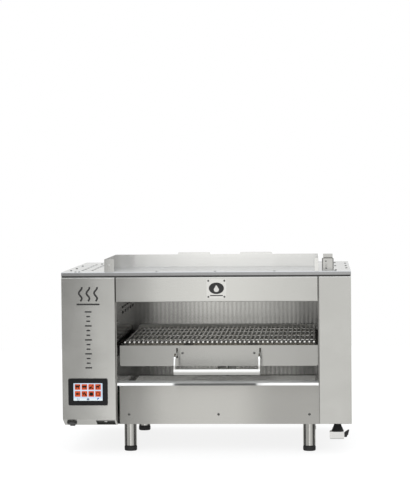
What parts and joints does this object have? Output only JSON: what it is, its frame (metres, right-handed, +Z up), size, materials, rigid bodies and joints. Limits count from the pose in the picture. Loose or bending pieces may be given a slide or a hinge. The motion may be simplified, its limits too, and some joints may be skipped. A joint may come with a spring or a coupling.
{
  "type": "countertop broiler grill",
  "caption": "Countertop infrared broiler grill with a lifting pull-out wire grate, touch-screen column, fat pan, heat guard and adjustable feet.",
  "frame": {"origin": "on the floor, at the centre of the overall outline", "axes": "+X to the right as seen from the front, +Y to the back, +Z up"},
  "size_m": [0.94, 0.74, 0.646],
  "materials": {
    "casing_steel": "brushed satin",
    "rail_steel": "dull",
    "bright_steel": "polished",
    "cavity_steel": "bright annealed",
    "carriage_steel": "satin",
    "grate_steel": "polished rod",
    "screw_steel": "satin",
    "burner_steel": "dull",
    "ceramic": "matt ceramic",
    "brass": "satin",
    "valve_chrome": "polished",
    "black_plastic": "matt",
    "motor_paint": "satin",
    "bezel_plastic": "gloss",
    "screen_glass": "gloss",
    "electronics": "matt"
  },
  "bodies": {
    "casing": {"base_pan": "casing_steel", "rear_panel": "casing_steel", "left_side_panel": "casing_steel", "right_side_panel": "casing_steel", "left_front_cover": "casing_steel", "right_front_cover": "casing_steel", "top_cover": "casing_steel", "front_rail": "rail_steel", "heat_guard": "casing_steel", "top_duct": "casing_steel", "top_screws": "screw_steel", "front_fascia": "casing_steel", "badge_plate": "bright_steel", "lower_front_panel": "casing_steel", "front_lip": "bright_steel", "panel_screws": "screw_steel", "cavity_left_wall": "cavity_steel", "cavity_right_wall": "cavity_steel", "cavity_rear_wall": "cavity_steel", "cavity_roof": "cavity_steel", "pan_ledges": "casing_steel", "burner_boxes": "burner_steel", "burner_plates": "ceramic", "burner_screens": "grate_steel", "insulation_board": "ceramic", "igniter": "ceramic", "gas_manifold": "brass", "injectors": "brass", "gas_valve": "valve_chrome", "inlet_pipe": "brass", "shutoff_boot": "black_plastic", "shutoff_body": "valve_chrome", "leg_tubes": "casing_steel", "guide_rods": "bright_steel", "bearing_bracket": "casing_steel", "gear_motor": "motor_paint", "display_bezel": "bezel_plastic", "display_glass": "screen_glass", "display_module": "electronics", "control_unit": "electronics", "fan_housing": "black_plastic", "service_port": "black_plastic"},
    "foot_front_left": {"foot_front_left": "black_plastic"},
    "foot_front_right": {"foot_front_right": "black_plastic"},
    "foot_rear_left": {"foot_rear_left": "black_plastic"},
    "foot_rear_right": {"foot_rear_right": "black_plastic"},
    "lift": {"lift_block": "carriage_steel", "lift_frame": "carriage_steel"},
    "screw": {"lead_screw": "bright_steel"},
    "carriage": {"carriage_frame": "carriage_steel", "carriage_front": "carriage_steel", "slide_bars": "carriage_steel", "handle_pivot": "carriage_steel"},
    "handle": {"handle_arms": "bright_steel", "handle_bar": "bright_steel"},
    "grate": {"wire_grate": "grate_steel"},
    "pan": {"fat_pan": "cavity_steel"},
    "lever": {"shutoff_lever": "black_plastic"},
    "fan": {"fan_rotor": "black_plastic"},
    "cap": {"service_cap": "black_plastic"}
  },
  "joints": [
    {"name": "carriage_lift", "type": "slide", "parent": "casing", "child": "lift", "axis": [0, 0, 1], "range_m": [0, 0.09]},
    {"name": "screw_spin", "type": "hinge", "parent": "casing", "child": "screw", "pos_m": [0.036, 0.3325, 0.3], "axis": [0, 0, 1], "range_deg": [-10, 3260]},
    {"name": "carriage_slide", "type": "slide", "parent": "lift", "child": "carriage", "axis": [0, -1, 0], "range_m": [0, 0.3]},
    {"name": "handle_swing", "type": "hinge", "parent": "carriage", "child": "handle", "pos_m": [0.038, -0.23, 0.326], "axis": [-1, 0, 0], "range_deg": [0, 20]},
    {"name": "grate_lift_off", "type": "slide", "parent": "carriage", "child": "grate", "axis": [0, 0, 1], "range_m": [0, 0.03]},
    {"name": "pan_lift_out", "type": "slide", "parent": "casing", "child": "pan", "axis": [0, 0, 1], "range_m": [0, 0.07]},
    {"name": "gas_lever", "type": "hinge", "parent": "casing", "child": "lever", "pos_m": [0.45, -0.19, 0.0495], "axis": [1, 0, 0], "range_deg": [0, 90]},
    {"name": "fan_spin", "type": "hinge", "parent": "casing", "child": "fan", "pos_m": [-0.384, 0.336, 0.4], "axis": [0, 1, 0], "continuous": true},
    {"name": "cap_open", "type": "hinge", "parent": "casing", "child": "cap", "pos_m": [-0.443, -0.26026, 0.09035], "axis": [1, 0, 0], "range_deg": [0, 100]},
    {"name": "foot_front_left_screw", "type": "slide", "parent": "casing", "child": "foot_front_left", "axis": [0, 0, -1], "range_m": [0, 0.015]},
    {"name": "foot_front_right_screw", "type": "slide", "parent": "casing", "child": "foot_front_right", "axis": [0, 0, -1], "range_m": [0, 0.015]},
    {"name": "foot_rear_left_screw", "type": "slide", "parent": "casing", "child": "foot_rear_left", "axis": [0, 0, -1], "range_m": [0, 0.015]},
    {"name": "foot_rear_right_screw", "type": "slide", "parent": "casing", "child": "foot_rear_right", "axis": [0, 0, -1], "range_m": [0, 0.015]}
  ],
  "couplings": [
    {"joint": "screw_spin", "follows": "carriage_lift", "rad_per_m": 628.32}
  ]
}
